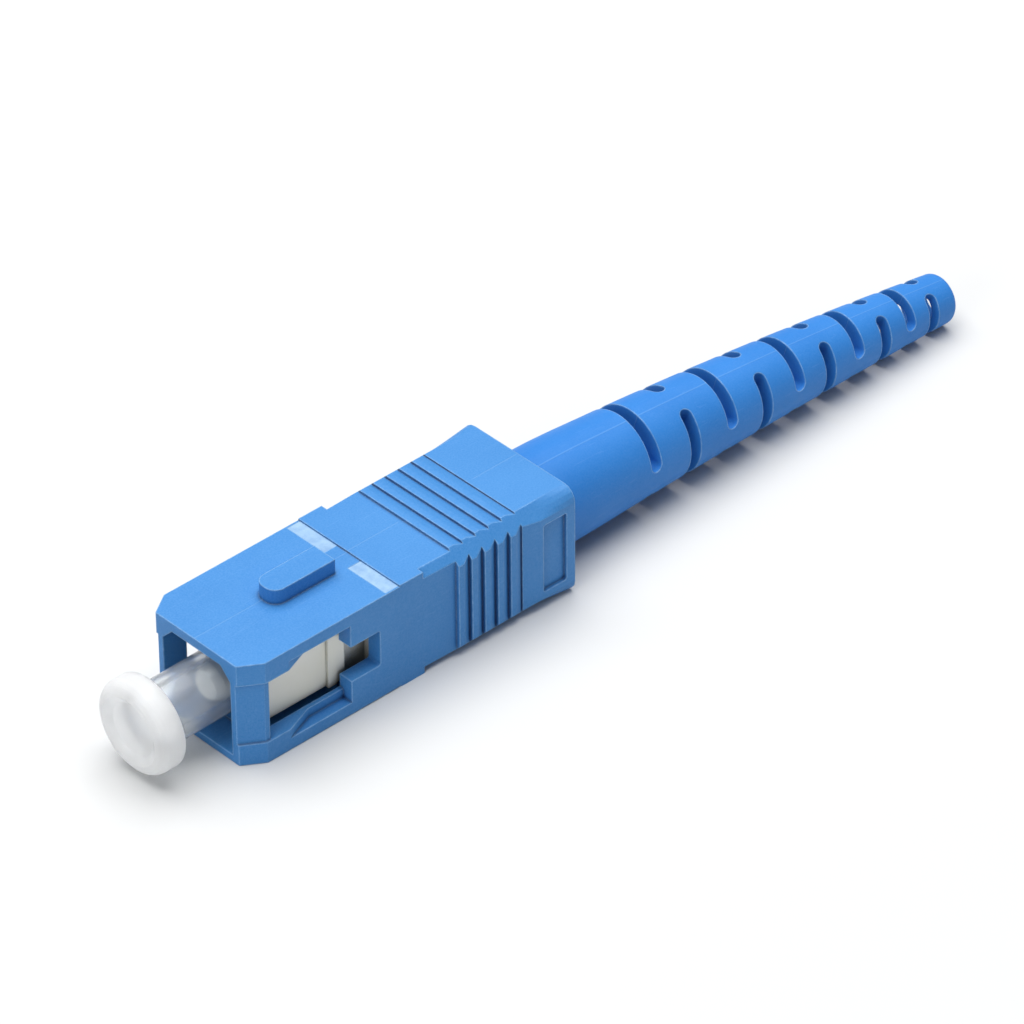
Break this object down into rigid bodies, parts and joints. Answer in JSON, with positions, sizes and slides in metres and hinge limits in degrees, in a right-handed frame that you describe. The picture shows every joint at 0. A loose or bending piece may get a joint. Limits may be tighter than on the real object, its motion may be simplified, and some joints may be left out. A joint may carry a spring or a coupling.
{
  "type": "sc fibre connector",
  "caption": "Push-pull optical fibre plug: square keyed coupling sleeve over a plug frame, sprung ceramic ferrule under a clear dust cap, and a slotted strain relief boot.",
  "frame": {"origin": "centre of the coupling sleeve's front opening, on the fibre axis", "axes": "+X along the fibre axis in the direction the plug is pushed into an adapter, +Z toward the key on the sleeve's top, +Y toward the left flank with its side window"},
  "size_m": [0.0677, 0.0098, 0.0088],
  "materials": {
    "sleeve_blue": "moulded satin",
    "mark_white": "pad printed ink",
    "frame_ivory": "moulded satin",
    "zirconia": "polished",
    "plated_metal": "nickel plated",
    "spring_steel": "drawn wire",
    "crimp_metal": "satin",
    "guide_plastic": "smooth",
    "boot_blue": "moulded satin",
    "cap_clear": "translucent, moulded"
  },
  "bodies": {
    "plug_body": {"plug_frame": "frame_ivory", "stop_ring": "plated_metal", "crimp_sleeve": "crimp_metal", "boot": "boot_blue"},
    "coupling_sleeve": {"coupling_sleeve": "sleeve_blue", "insertion_mark_left": "mark_white", "insertion_mark_right": "mark_white"},
    "ferrule_group": {"ferrule": "zirconia", "ferrule_flange": "plated_metal", "guide_tube": "guide_plastic", "spring": "spring_steel"},
    "dust_cap": {"dust_cap": "cap_clear"}
  },
  "joints": [
    {"name": "sleeve_pull", "type": "slide", "parent": "plug_body", "child": "coupling_sleeve", "axis": [1, 0, 0], "range_m": [-0.002, 0]},
    {"name": "ferrule_float", "type": "slide", "parent": "plug_body", "child": "ferrule_group", "axis": [1, 0, 0], "range_m": [-0.0015, 0], "stiffness_N_per_m": 1500, "deforming": ["spring"]},
    {"name": "cap_pull", "type": "slide", "parent": "plug_body", "child": "dust_cap", "axis": [1, 0, 0], "range_m": [0, 0.008]}
  ]
}
